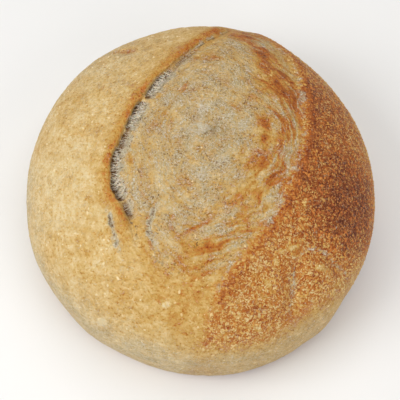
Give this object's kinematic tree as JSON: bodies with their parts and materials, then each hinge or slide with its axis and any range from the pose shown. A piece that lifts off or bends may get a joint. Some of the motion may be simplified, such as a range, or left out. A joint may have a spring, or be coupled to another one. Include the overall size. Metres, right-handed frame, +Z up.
{
  "type": "sourdough loaf",
  "caption": "Whole round sourdough loaf with a flat base, a domed crust, one long curved score with a raised lip and a torn cleft, and shallow folds in the crust.",
  "frame": {"origin": "centre of the loaf's box in plan, on the flat base", "axes": "+Z up out of the flat base through the dome; +Y from the front, where the score ends, to the back; +X to the right, with the curved score on the -X side"},
  "size_m": [0.231, 0.2392, 0.1082],
  "materials": {
    "crust": "matt baked crust, golden to reddish brown, dusted with flour"
  },
  "bodies": {
    "root": {"loaf": "crust"}
  },
  "joints": []
}
